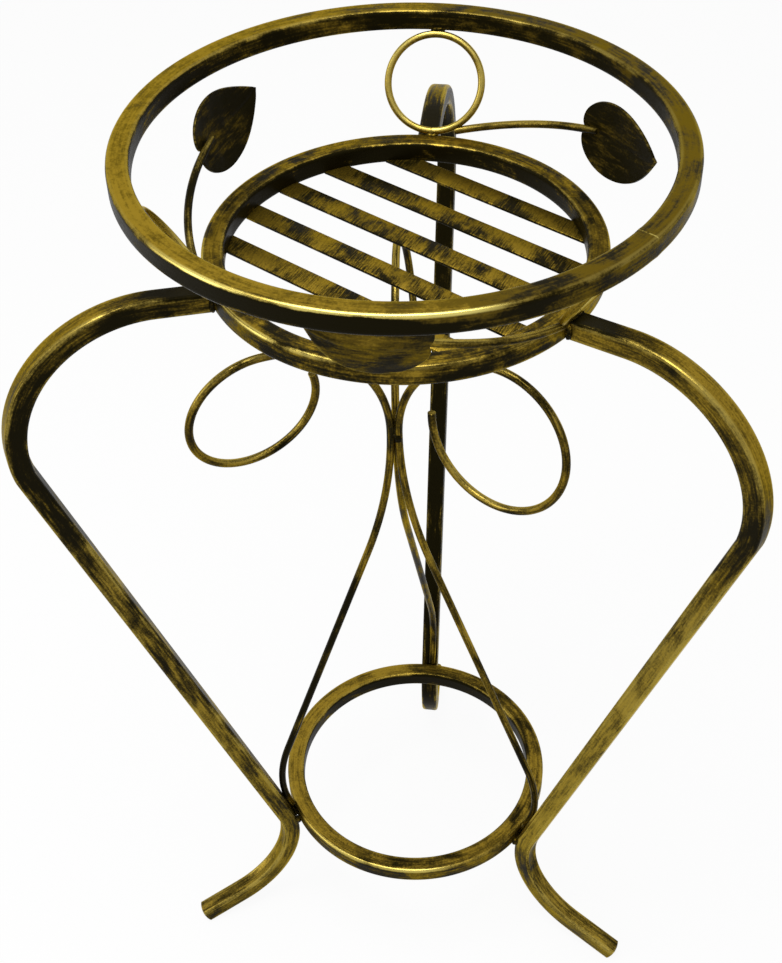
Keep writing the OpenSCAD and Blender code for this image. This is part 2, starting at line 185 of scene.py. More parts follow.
enamel_black = (0.0072, 0.0056, 0.0012, 1)
rubbed_gold = (0.047, 0.032, 0.0045, 1)
thin_gold = (0.112, 0.073, 0.009, 1)
full_gold = (0.268, 0.176, 0.019, 1)
# pale gold for a painted highlight on corners and upper sides
pale_highlight_gold = (0.600, 0.500, 0.140, 1)
warm_shine = (1.0, 0.86, 0.45, 1)
paint_relief = 0.0003                       # how deep the brush marks are


def drag_gold(paint, cover, patch, bristle, speck, edge=0.0, even=0.0, edge_highlight=0.5, wiped=0.0,
              patchy=1.0, streaky=1.0, depth=1.0, dull=0.38):
    """Gold dragged by a nearly dry brush over black enamel.

    cover is how much gold the brush left. patch, bristle and speck are the noises of
    its dabs, its hairs and the grain, and edge is where the gold lies fuller: the
    corners that it caught first, which also take a pale painted highlight. even is
    how far the gold hides what lies under it, edge_highlight how strongly that
    painted highlight shows, and wiped how far it was rubbed thin again. patchy and
    streaky say how strongly dabs and hairs show, depth how rough the paint feels,
    and dull how rough it dried."""
    dab, hair, dust = patch - 0.5, bristle - 0.5, speck - 0.5
    laid = cover + dab * (2.2 * patchy) + hair * (1.25 * streaky) + dust * 0.6
    laid = laid + edge * (0.08 + edge_highlight * 0.5) + even
    film = laid.between(0.20, 0.66)
    body = (laid + hair * 0.3 + dust * 0.2).between(0.34, 0.94)
    thick = (laid * 0.55 + dust * 0.9 + hair * 0.9 - wiped).between(0.20, 0.85)
    colour = film.blend(enamel_black, rubbed_gold)
    colour = body.blend(colour, thick.blend(thin_gold, full_gold))
    # a painted highlight: pale gold where the edge is full of gold; on the top ring it also marks
    # the ground weld line
    highlight_mask = (edge * body * (patch * 1.9 - 0.2).clamp() * edge_highlight).clamp()
    paint.set("Base Color", highlight_mask.blend(colour, pale_highlight_gold))
    paint.set("Metallic", (film * 0.35 + body * 0.6).clamp())
    paint.set("Roughness", (dull + hair * 0.28 + dust * 0.18 - edge * 0.10).clamp(0.2, 0.62))
    paint.set("Specular IOR Level", 0.04)
    paint.set("Specular Tint", warm_shine)
    relief = (bristle * 0.55 + speck * 0.3) * (1 - edge * 0.7) + film * 0.25 + body * 0.15
    paint.set("Normal", paint.any.make("Bump", {}, {
        "Strength": 0.32 * depth, "Distance": paint_relief, "Height": relief}))


def ring_paint(name, across, height, seed, cover_of, patchy, streaky, mottle, edge_highlight, joint=None):
    """The ring's finish: strokes follow the tube round and meet without a seam.
    cover_of says where the gold is fuller, more even or wiped, and where a pale painted highlight
    lies."""
    p = Paint(name)
    nx, ny, nz = p.facing
    radius = (across / 2 - tube_half) * 1000
    out = p.any.maths("SQRT", p.x * p.x + p.y * p.y)
    c, s = p.x / out, p.y / out
    off, up = out - radius, p.z - height * 1000
    stroke, dab = radius * 0.045, radius * 0.042
    bristle = p.any.grain(c * stroke, s * stroke, off * 0.85 + seed * 3.7, up * 0.85,
                          detail=4.0, rough=0.62)
    patch = p.any.grain(c * dab, s * dab, off * 0.10 + seed * 9.1, up * 0.10,
                        detail=2.0, rough=0.5, warp=0.7)
    speck = p.any.grain(p.x * 0.9, p.y * 0.9, p.z * 0.9, seed, rough=0.65)
    blot = p.any.grain(p.x * 0.20, p.y * 0.20, p.z * 0.20, seed + 4.0,
                       detail=4.0, rough=0.6, warp=0.4)
    speck = speck + (blot - 0.5) * mottle
    radial = nx * c + ny * s
    wall, inner = radial.between(0.35, 0.8), (-radial).between(0.3, 0.9)
    upper, under = nz.between(0.35, 0.9), (-nz).between(0.2, 0.9)
    corner = abs(off).between(3.0, 4.3) * abs(up).between(3.0, 4.3)

    def beside(azimuth, reach):
        """1 on the ring at that azimuth, falling to 0 at reach to either side."""
        facing = c * cos(radians(azimuth)) + s * sin(radians(azimuth))
        return facing.between(cos(radians(reach)), 1)

    cover, even, pale, wiped = cover_of(beside, wall, inner, upper, under, off, up)
    if joint is not None:
        # the ground weld shows as a pale line across the tube
        aside = abs(p.y * cos(joint) - p.x * sin(joint))
        line = (1 - aside.between(0.10, 0.60)) * beside(degrees(joint), 20)
        line = line * nz.between(0.5, 0.95) * speck.between(0.2, 0.6)
        corner, pale = (corner + line).clamp(), pale + line * 0.6
    drag_gold(p, cover, patch, bristle, speck, edge=corner, even=even, edge_highlight=pale + edge_highlight,
              wiped=wiped, patchy=patchy, streaky=streaky)
    return p.finish


def top_cover(beside, wall, inner, upper, under, off, up):
    """The outer wall is nearly bare in front at the left. The upper face is even
    there, and streaked on the right and at the back. A pale painted highlight lies
    along its outer upper corner in front."""
    bare = (beside(-131, 62) * 2.0).clamp()
    smooth = beside(-150, 110)
    dull = (beside(5, 100) * 1.5).clamp()
    # a painted highlight along the outer upper corner in front
    bright = (beside(-98, 40) * 1.5).clamp() * off.between(3.0, 4.4) * up.between(3.0, 4.4)
    scuffed = up.between(1.5, 5.0) * 0.42, (-up).between(2.5, 5.0) * 0.30
    cover = (0.58 + upper * 0.12 - under * 0.30 - wall * bare * (0.74 - scuffed[0] - scuffed[1])
             - wall * dull * 0.22 - inner * 0.34 - upper * dull * 0.18)
    return cover, upper * (0.10 + smooth * 0.40), bright * 1.1, dull * 0.85


def finish_piece(piece, paint, slot, *nodes):
    """Gives a piece its finish, hangs it under the root and hides the nodes of the construction
    that it replaces.
    """
    piece.data.materials.clear()
    piece.data.materials.append(paint)
    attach(piece, "root")
    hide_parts(*nodes)


top_ring = roll_ring("top_ring_tube", top_ring_across, top_ring_height)
# the butt weld stands a little proud of the tube, ground down by hand
for v in top_ring.data.vertices:
    away = v.co - axis
    turn = atan2(away.y, away.x)
    lift = max(0, 1 - abs(turn - seam) / seam_reach)
    middle = axis + Vector((cos(turn), sin(turn), 0)) * (top_ring_across / 2 - tube_half)
    middle.z = top_ring_height
    v.co += (v.co - middle).normalized() * seam_lift * lift
top_paint = ring_paint("top_ring_paint", top_ring_across, top_ring_height, 1, top_cover,
                       patchy=0.9, streaky=0.85, mottle=0.9, edge_highlight=0.15, joint=seam)
finish_piece(top_ring, top_paint, "gold_over_black", "top_ring")

# ---------------------------------------------------------------- pot ring
# The ring that the pot stands in, of the same tube: its outer wall is worked
# in short streaks, and its inner wall stays dark behind the slats' ends.

pot_ring_across, pot_ring_height = 0.190, 0.478


def pot_cover(beside, wall, inner, upper, under, off, up):
    # a painted highlight along the outer upper corner at the front left
    sheen = beside(-135, 50) * off.between(2.6, 4.2) * up.between(2.6, 4.2)
    cover = 0.45 + upper * 0.10 - under * 0.3 + wall * 0.02 - inner * 0.45
    return cover, upper * beside(110, 90) * 0.16, sheen * 0.5, wall * 0.10


pot_ring = roll_ring("pot_ring_tube", pot_ring_across, pot_ring_height)
pot_paint = ring_paint("pot_ring_paint", pot_ring_across, pot_ring_height, 2, pot_cover,
                       patchy=0.9, streaky=1.0, mottle=1.5, edge_highlight=0.12)
finish_piece(pot_ring, pot_paint, "gold_over_black", "pot_ring")

# ------------------------------------------------------------- bottom ring
# The smallest ring ties the three legs together above their feet. It is
# brushed gold on top and in front, and left dark inside.

bottom_ring_across, bottom_ring_height = 0.164, 0.077


def bottom_cover(beside, wall, inner, upper, under, off, up):
    # a painted highlight along the outer upper corner in front
    sheen = beside(-100, 40) * off.between(2.6, 4.2) * up.between(2.6, 4.2)
    cover = 0.52 + upper * 0.14 - under * 0.3 + wall * 0.06 - inner * 0.30
    return cover, upper * beside(160, 110) * 0.40, sheen * 0.8, 0.0


bottom_ring = roll_ring("bottom_ring_tube", bottom_ring_across, bottom_ring_height)
bottom_paint = ring_paint("bottom_ring_paint", bottom_ring_across, bottom_ring_height, 3,
                          bottom_cover, patchy=0.95, streaky=0.9, mottle=0.8, edge_highlight=0.12)
finish_piece(bottom_ring, bottom_paint, "gold_over_black", "bottom_ring")

# ------------------------------------------------------------------- slats
# Five strips sheared from sheet steel and welded inside the pot ring, level
# with its underside. The gold is dabbed over them in short slanting strokes.

slat_count = 5
slat_width, slat_thickness, slat_pitch, slat_shift = 0.0116, 0.0015, 0.0270, 0.0114
slat_way, slat_stroke = radians(-30.5), radians(102)
slat_blank, slat_in_wall, slat_edge = 0.2, 0.0006, 0.0003
pot_wall = pot_ring_across / 2 - tube


def slat_aside(n):
    """How far slat n lies from the ring's middle, across the slats."""
    return slat_shift + (n - 3) * slat_pitch


def cut_off(point, direction):
    """Cuts the piece in edit mode at a plane, drops what lies beyond and closes it."""
    bpy.ops.mesh.select_all(action="SELECT")
    bpy.ops.mesh.bisect(plane_co=point, plane_no=direction, use_fill=True, clear_outer=True)


def shear_slat(n):
    """A strip laid along X, its ends cut to the ring's wall, then turned to its place."""
    fresh()
    bpy.ops.mesh.primitive_cube_add(
        size=1, location=(0, slat_aside(n), pot_ring_height - tube_half + slat_thickness / 2),
        scale=(slat_blank, slat_width, slat_thickness))
    slat = bpy.context.object
    bpy.ops.object.transform_apply(location=True, rotation=True, scale=True)
    bpy.ops.object.mode_set(mode="EDIT")
    edges = slat_aside(n) - slat_width / 2, slat_aside(n) + slat_width / 2
    for side in (-1, 1):
        ends = [Vector((side * sqrt(pot_wall ** 2 - y ** 2), y, 0)) for y in edges]
        chord = ends[1] - ends[0]
        away = Vector((chord.y, -chord.x, 0)).normalized()
        if away.x * side < 0:
            away = -away
        cut_off(ends[0] + away * slat_in_wall, away)
    bpy.ops.mesh.select_all(action="SELECT")
    bpy.ops.mesh.bevel(offset=slat_edge, segments=2, affect="EDGES")
    bpy.ops.object.mode_set(mode="OBJECT")
    slat.data.transform(Matrix.Translation(axis) @ Matrix.Rotation(slat_way, 4, "Z"))
    return close_up(slat, f"slat_{n}_strip")


def slat_paint(n):
    """Short hair-fine strokes across the strip, with bare places between."""
    p = Paint(f"slat_{n}_paint")
    along = p.x * cos(slat_way) + p.y * sin(slat_way)
    across = p.y * cos(slat_way) - p.x * sin(slat_way) - slat_aside(n) * 1000
    lean = along * cos(slat_stroke) + across * sin(slat_stroke)
    aside = across * cos(slat_stroke) - along * sin(slat_stroke)
    bristle = p.any.grain(lean * 0.10, aside * 1.5, n * 5.0, detail=4.0, rough=0.7, warp=0.12)
    patch = p.any.grain(along * 0.060 + lean * 0.02, across * 0.05, n * 11.3,
                        rough=0.6, warp=0.4)
    speck = p.any.grain(along * 1.1, across * 1.1, p.z, n, rough=0.65)
    cover = 0.62 - (1 - p.facing[2].between(0.2, 0.9)) * 0.5
    drag_gold(p, cover, patch, bristle, speck, wiped=-0.12, patchy=1.6, streaky=1.7, depth=0.9)
    return p.finish


for n in range(1, slat_count + 1):
    finish_piece(shear_slat(n), slat_paint(n), "slat_paint", f"slat_{n}")

# -------------------------------------------------------------------- legs
# Three lengths of the same tube, bent cold: out of the pot ring, over a wide
# shoulder, straight in to the bottom ring and out again to a domed foot.

lap = 0.0003                                # how far welded pieces lie in each other
leg_start_z = 0.4766
leg_lean, foot_slope = 17.7, 16.6           # degrees off upright, and below level
knuckle_radius, knuckle_turn = 0.0235, 8
toe_dome, toe_run, toe_reach = 0.012, 0.0024, 0.003
wall_draw, draw_ease = 0.0005, 0.012        # what a bend draws its inner wall in
leg_clear = 0.001                           # the beads' gap between leg and bottom ring
touch_r = bottom_ring_across / 2 + leg_clear
touch_z = bottom_ring_height - tube_half + tube_corner
leg_places = {"rear": (91.2, 0), "left": (209.7, 0.4), "right": (329.7, 0)}


def around(azimuth):
    """A place on the rings' axis, with its X pointing at that azimuth."""
    return Matrix.Translation(axis) @ Matrix.Rotation(radians(azimuth), 4, "Z")


class BentBar:
    """A bar swept from its outline by runs and bends. It travels along its own Z
    and bends towards its own X, and notes for each vertex how far along the bar
    and where in the section it lies."""

    def __init__(self, bar, start):
        fresh()
        bar.data.transform(start)
        bpy.context.view_layer.objects.active = bar
        bpy.ops.object.mode_set(mode="EDIT")
        bpy.ops.mesh.select_all(action="SELECT")
        self.bar, self.end, self.length = bar, start.copy(), 0.0
        self.measure, self.bends = [], []
        self.note(lambda q: (0.0, q.x, q.y), start)

    def note(self, rule, start):
        """Writes down the measures of the vertices that were just made."""
        self.bar.update_from_editmode()
        back = start.inverted()
        self.measure += [rule(back @ v.co) for v in self.bar.data.vertices[len(self.measure):]]

    def run(self, length, parts=1):
        """Goes straight on."""
        start, gone = self.end.copy(), self.length
        step = self.end.col[2].to_3d() * (length / parts)
        for i in range(parts):
            bpy.ops.mesh.extrude_edges_move(TRANSFORM_OT_translate={"value": step})
        self.note(lambda q: (gone + q.z, q.x, q.y), start)
        self.end = self.end @ Matrix.Translation((0, 0, length))
        self.length += length

    def bend(self, radius, turned, steps):
        """Bends by turned degrees, towards X, or away from it where that is negative."""
        start, gone, side = self.end.copy(), self.length, (1 if turned > 0 else -1)
        centre = start @ Vector((side * radius, 0, 0))
        way = start.to_3x3() @ Vector((0, 1, 0))
        bpy.ops.mesh.spin(steps=steps, angle=radians(abs(turned)), center=centre,
                          axis=way * -side)

        def rule(q):
            swept = atan2(q.z, radius - q.x * side)
            if swept < -0.005:      # past half a turn the angle comes round from below
                swept += 2 * pi
            return (gone + swept * radius,
                    side * (radius - hypot(radius - q.x * side, q.z)), q.y)
        self.note(rule, start)
        self.end = Matrix.Translation(centre) @ Matrix.Rotation(radians(turned), 4, way) \
            @ Matrix.Translation(-centre) @ start
        self.length += radius * radians(abs(turned))
        self.bends.append((gone, self.length, centre, way, side, radius))

    def turn(self, turned, way):
        """Turns the heading of what follows by that many degrees."""
        self.end = self.end @ Matrix.Rotation(radians(turned), 4, Vector(way))

    def draw_in(self, share):
        """Draws the open end in to a share of its size."""
        bpy.ops.transform.resize(value=(share,) * 3, center_override=self.end.to_translation())

    def close(self, name):
        """Closes both ends and keeps the measures with the piece."""
        bpy.ops.object.mode_set(mode="OBJECT")
        kept = self.bar.data.attributes.new("bar", "FLOAT_VECTOR", "POINT")
        kept.data.foreach_set("vector", [c for m in self.measure for c in m])
        bpy.ops.object.mode_set(mode="EDIT")
        bpy.ops.mesh.select_all(action="SELECT")
        bpy.ops.mesh.remove_doubles(threshold=same_place)
        bpy.ops.mesh.select_all(action="DESELECT")
        bpy.ops.mesh.select_non_manifold()
        bpy.ops.mesh.fill_holes(sides=0)
        return close_up(self.bar, name)


def bend_in(radius, a, b):
    """How far out and up a bend takes the bar, from heading a to heading b."""
    a, b = radians(a), radians(b)
    return Vector((radius * (sin(a) - sin(b)), radius * (cos(b) - cos(a))))


def bend_leg(name, azimuth, tilt, rise, shoulder, foot, foot_length, foot_turn):
    """Bends one leg. Its two straight runs follow from the rings it joins."""
    down = -90 - leg_lean
    over = down + knuckle_turn
    start = Vector((pot_ring_across / 2 - lap - tube_half * sin(radians(rise)), leg_start_z))
    toe_back = toe_dome - sqrt(toe_dome ** 2 - tube_half ** 2)
    heel_z = (foot_length - toe_back) * sin(radians(foot_slope)) \
        + (foot + tube_half) * cos(radians(foot_slope))
    heel_r = touch_r + sqrt((foot + tube_half) ** 2 - (touch_z - heel_z) ** 2)
    a, b = radians(rise), radians(down)
    left = Vector((heel_r + foot * sin(b), heel_z - foot * cos(b))) - start \
        - bend_in(shoulder, rise, over) - bend_in(knuckle_radius, over, down)
    root_run = (left.x * sin(b) - left.y * cos(b)) / sin(b - a)
    long_run = (cos(a) * left.y - sin(a) * left.x) / sin(b - a)
    plane = around(azimuth) @ Matrix.Translation((0, 0, leg_start_z)) \
        @ Matrix.Rotation(radians(tilt), 4, "X") @ Matrix.Translation((start.x, 0, 0)) \
        @ Matrix.Rotation(radians(90 - rise), 4, "Y")
    leg = BentBar(tube_outline((0, 0, 0), (0, 0, 0)), plane)
    leg.run(root_run, 4)
    leg.bend(shoulder, rise - over, 44)
    leg.bend(knuckle_radius, knuckle_turn, 6)
    leg.run(long_run, 30)
    leg.turn(foot_turn, (sin(radians(leg_lean)), 0, -cos(radians(leg_lean))))
    leg.bend(foot, foot_slope + down, 30)
    leg.run(foot_length - toe_run, 4)
    leg.run(toe_run, 12)
    bpy.ops.object.mode_set(mode="OBJECT")
    tip, back = leg.end, leg.end.inverted()
    inner_wall, flat_half = tube_half - 0.0006, tube_half - 0.0008
    for v, (s, u, w) in zip(leg.bar.data.vertices, leg.measure):
        # the toe is domed
        q = back @ v.co
        if s > leg.length - toe_reach:
            room = sqrt(max(toe_dome ** 2 - (q.z + toe_dome) ** 2, 0))
            if hypot(q.x, q.y) > room:
                q.x, q.y = q.x * room / hypot(q.x, q.y), q.y * room / hypot(q.x, q.y)
                v.co = tip @ q
        # the wall inside a bend is drawn in a little, most in the middle of its width
        for s0, s1, centre, way, side, radius in leg.bends:
            if s0 < s < s1 and u * side > inner_wall:
                out = v.co - centre
                out = (out - way * out.dot(way)).normalized()
                ease = min(1, (s - s0) / draw_ease, (s1 - s) / draw_ease)
                width = max(0, 1 - (w / flat_half) ** 2) ** 2
                v.co += out * (wall_draw + 0.02 * wall_draw / radius) * ease * width
    return leg.close(name), leg.bends[-1][0]


def leg_paint(name, seed, foot_start, run_cover, side_cover, pale):
    """The strokes follow the bar. The root is nearly bare, the shoulder's back and
    the foot are full, and pale says how strongly the long run takes a pale painted
    highlight, which the corners and the foot take too."""
    p = Paint(name, "bar")
    along, u, v = p.x, p.y, p.z
    foot_start *= 1000
    shoulder_cover, foot_cover = 0.80, 0.56
    bristle = p.any.grain(along * 0.060, u * 0.95, v * 0.95, seed * 3.3, detail=4.0, rough=0.66)
    patch = p.any.grain(along * 0.030, u * 0.09, v * 0.09, seed * 7.7, rough=0.6, warp=0.6)
    speck = p.any.grain(along * 0.9, u * 0.9, v * 0.9, seed, rough=0.7)
    corner = abs(u).between(2.5, 4.3) * abs(v).between(2.5, 4.3)
    outer, inner, side = (-u).between(3.4, 5.0), u.between(3.4, 5.0), abs(v).between(3.4, 5.0)
    root = 1 - along.between(14, 40)
    shoulder = along.between(24, 60) * (1 - along.between(130, 175))
    upper_half = along.between(20, 50) * (1 - along.between(150, 260))
    foot = along.between(foot_start - 15, foot_start + 35)
    cover = (run_cover + shoulder * outer * (shoulder_cover - run_cover)
             - upper_half * side * (run_cover - side_cover) + foot * (foot_cover - run_cover)
             - inner * 0.22 - root * outer * (run_cover + 0.06))
    # the long run and the foot take the pale painted highlight as well as the corners
    pale_run = along.between(170, 230) * (1 - foot) * pale + foot * 0.2
    drag_gold(p, cover, patch, bristle, speck, edge=(corner + pale_run).clamp(), edge_highlight=0.25,
              patchy=0.95)
    return p.finish


# rise, shoulder and foot radius, foot length and turn; gold on the run and its sides, and the
# painted highlight
leg_bends = {"rear": (8, 0.069, 0.0405, 0.032, 3.2), "left": (8, 0.065, 0.052, 0.029, 3.2),
             "right": (5.8, 0.065, 0.052, 0.032, 5.3)}
leg_gold = {"rear": (0.24, 0.20, 0.0), "left": (0.56, 0.24, 0.25), "right": (0.78, 0.50, 0.6)}
for i, (side, place) in enumerate(leg_places.items()):
    leg_tube, foot_start = bend_leg(side + "_leg_tube", *place, *leg_bends[side])
    finish_piece(leg_tube, leg_paint(side + "_leg_paint", 4 + i, foot_start, *leg_gold[side]),
                 "gold_over_black", side + "_leg")

# ------------------------------------------------------------ scroll rods
# Three rods of round steel rise from the bottom ring, meet at a knot under
# the seat and end in a curl each. They are bent by hand, so no two are alike.

rod = 0.0042
knot_aside, knot_height = -0.0074, 0.364
knot = axis + Vector((knot_aside, 0, knot_height))
knot_r = rod / sqrt(3)                      # from the knot's middle to each rod's
rod_end_z = bottom_ring_height + 0.0045     # its end is welded high on the ring's wall
rod_end_r = bottom_ring_across / 2 + rod / 2 - lap
curl_lean, tip_turn, tip_share = 6.4, 0.4, 0.86


def rod_outline(across, sides=20):
    """A round rod's section as a loop of edges, ready to be swept."""
    fresh()
    bpy.ops.mesh.primitive_circle_add(vertices=sides, radius=across / 2, fill_type="NOTHING")
    return bpy.context.object


def bend_scroll(name, azimuth, spread_r, toe_in_r, toe_in, swing, reach, rise, radius, whole):
    """Bends one rod from its lower end beside a leg to the free end of its curl. How
    far it spreads and swells follows from the ring, the knot and the curl's reach."""
    foot = Vector((rod_end_r * cos(radians(azimuth)), rod_end_r * sin(radians(azimuth)), 0)) \
        - Vector((knot_aside, 0, 0))
    across = foot.length - knot_r - spread_r - toe_in_r * cos(radians(toe_in))
    drop = knot_height - rod_end_z - toe_in_r * sin(radians(toe_in))
    straight = sqrt(across ** 2 + drop ** 2 - (spread_r + toe_in_r) ** 2)
    spread = degrees(atan2(drop, -across) - atan2(straight, spread_r + toe_in_r))
    out = reach - knot_r
    swell = (out ** 2 + rise ** 2 - radius ** 2) / (2 * (out - radius))
    swelled = 180 - degrees(atan2(rise, out - swell))
    start = Matrix.Translation(Vector((knot.x, knot.y, 0))) \
        @ Matrix.Rotation(atan2(foot.y, foot.x), 4, "Z") \
        @ Matrix.Translation((foot.length, 0, rod_end_z)) \
        @ Matrix.Rotation(radians(toe_in), 4, "Y")
    bar = BentBar(rod_outline(rod), start)
    bar.bend(toe_in_r, -toe_in - spread, 24)
    bar.run(straight, 12)
    bar.bend(spread_r, spread, 32)
    bar.turn(swing, (0, 0, 1))
    bar.bend(swell, swelled, 60)
    # the curl leans aside, so that it passes beside its own rod
    bar.turn(-curl_lean, (0, 0, 1))
    bar.bend(radius, whole - swelled - tip_turn, 84)
    bar.bend(radius, tip_turn, 1)
    bar.draw_in(tip_share)
    return bar.close(name)


def rod_paint(name, seed, cover=0.55, patchy=1.0, shine=0.25, bare_until=0.0):
    """Gold wiped along a rod, worn through in places, and nearly bare from its lower
    end for the first bare_until millimetres. Its upper side takes a pale painted
    highlight, as strong as shine."""
    p = Paint(name, "bar")
    along, u, v = p.x, p.y, p.z
    nz = p.facing[2]
    bristle = p.any.grain(along * 0.07, u * 1.1, v * 1.1, seed * 3.3, detail=4.0, rough=0.62)
    patch = p.any.grain(along * 0.040, u * 0.16, v * 0.16, seed * 7.7,
                        detail=2.0, rough=0.5, warp=0.4)
    speck = p.any.grain(along * 0.9, u * 0.9, v * 0.9, seed, rough=0.65)
    if bare_until:
        bare = (1 - along.between(bare_until - 60, bare_until)) * along.between(4, 14)
        cover = cover - bare * 0.42
    drag_gold(p, cover + nz * 0.10, patch, bristle, speck, edge=nz.between(0.1, 0.95),
              edge_highlight=shine, patchy=patchy, depth=0.8, dull=0.34)
    return p.finish


# how far up it is bare, then azimuth, the lower bends, swing, and the curl's measures
for i, (side, bare, bends) in enumerate((
        ("rear", 0, (90, 0.222, 0.080, 19, 12, 0.0654, 0.0296, 0.0394, 357)),
        ("left", 210, (210, 0.222, 0.080, 19, 5.2, 0.0754, 0.0434, 0.0338, 380)),
        ("right", 0, (333, 0.202, 0.068, 22, -2.8, 0.0654, 0.0296, 0.0394, 357)))):
    finish_piece(bend_scroll(side + "_scroll_rod", *bends),
                 rod_paint(side + "_scroll_paint", 10 + i, bare_until=bare),
                 "gold_over_black", side + "_scroll")

# ------------------------------------------------------------------ hoops
# Between the pot ring and the top ring lean three closed hoops of rod, each
# welded to the rounded edges of both rings and brushed nearly all gold.

hoop_rod, hoop_play, hoop_turn = 0.0036, 0.0006, 359.2
low_edge = Vector((pot_ring_across / 2 - tube_corner, 0,
                   pot_ring_height + tube_half - tube_corner))
high_edge = Vector((top_ring_across / 2 - tube + tube_corner, 0,
                    top_ring_height - tube_half + tube_corner))
hoop_way = (high_edge - low_edge).normalized()
hoop_middle = (low_edge + high_edge) / 2
hoop_radius = ((high_edge - low_edge).length - 2 * tube_corner - hoop_play - hoop_rod) / 2
hoop_places = (("rear", 90), ("left", 210), ("right", 330))

for i, (side, azimuth) in enumerate(hoop_places):
    square = Vector((0, 1, 0))
    plane = around(azimuth) @ Matrix.Translation(hoop_middle - hoop_way * hoop_radius) \
        @ Matrix((hoop_way, hoop_way.cross(square), square)).transposed().to_4x4()
    bar = BentBar(rod_outline(hoop_rod), plane)
    bar.bend(hoop_radius, hoop_turn, 144)
    # the hoops' upper sides get a strong pale painted highlight
    finish_piece(bar.close(side + "_hoop_rod"),
                 rod_paint(side + "_hoop_paint", 20 + i, cover=0.86, patchy=0.6, shine=0.8),
                 "gold_over_black", side + "_hoop")

# ------------------------------------------------------------------ stems
# Beside each hoop a thin rod rises off the pot ring and bends inwards. Its
# last stretch is hammered thinner, where a leaf is welded on it.

stem_rod, stem_bend, stem_turn = 0.0038, 0.1085, 44
stem_before, stem_out = 7, 0.0022           # degrees before its hoop, and out on the ring
stem_head, stem_rise, stem_roll = 6.6, 14.4, 6.5
thin_steps, thin_share = 5, 0.93


def on_stem(azimuth):
    """The stem's own line: its root on the ring, then its heading."""
    return around(azimuth - stem_before) \
        @ Matrix.Translation((pot_ring_across / 2 + stem_out, 0,
                              pot_ring_height + tube_half + stem_rod / 2 - lap)) \
        @ Matrix.Rotation(radians(stem_head), 4, "Z") \
        @ Matrix.Rotation(radians(90 - stem_rise), 4, "X") \
        @ Matrix.Rotation(radians(180 - stem_roll), 4, "Z")


def bend_stem(name, azimuth):
    """One long bend, its last degrees drawn thinner step by step."""
    bar = BentBar(rod_outline(stem_rod), on_stem(azimuth))
    bar.bend(stem_bend, stem_turn - thin_steps, 36)
    for step in range(thin_steps):
        bar.bend(stem_bend, 1, 1)
        bar.draw_in(thin_share)
    return bar.close(name)


for i, ((side, azimuth), cover) in enumerate(zip(hoop_places, (0.5, 0.24, 0.5))):
    finish_piece(bend_stem(side + "_stem_rod", azimuth),
                 rod_paint(side + "_stem_paint", 30 + i, cover),
                 "gold_over_black", side + "_stem")

# ----------------------------------------------------------------- leaves
# Three heart-shaped leaves, cut from sheet, dished with a hammer and welded
# on the ends of the stems by their backs. The gold on them is wiped thin.

leaf_length, leaf_full, leaf_sheet = 0.0512, 0.21, 0.0012
leaf_dish, leaf_lap = 0.110, 0.0096         # the ball it is hammered over, and its weld
leaf_middle, leaf_hook = leaf_length * 0.4, -0.0050
leaf_points, line_points = 124, 1000        # round the cut edge, and along half its line
crease_lift, crease_reach = 0.00045, 0.0022
notch_sag = leaf_dish - sqrt(leaf_dish ** 2 - leaf_middle ** 2) \
    - stem_bend + sqrt(stem_bend ** 2 - leaf_lap ** 2)


def leaf_edge(a):
    """How far the leaf's cut edge lies from its notch, in the direction a."""
    return leaf_length * ((1 - leaf_full) * (1 - abs(a) / pi) ** 3 + leaf_full * (1 + cos(a)) / 2)


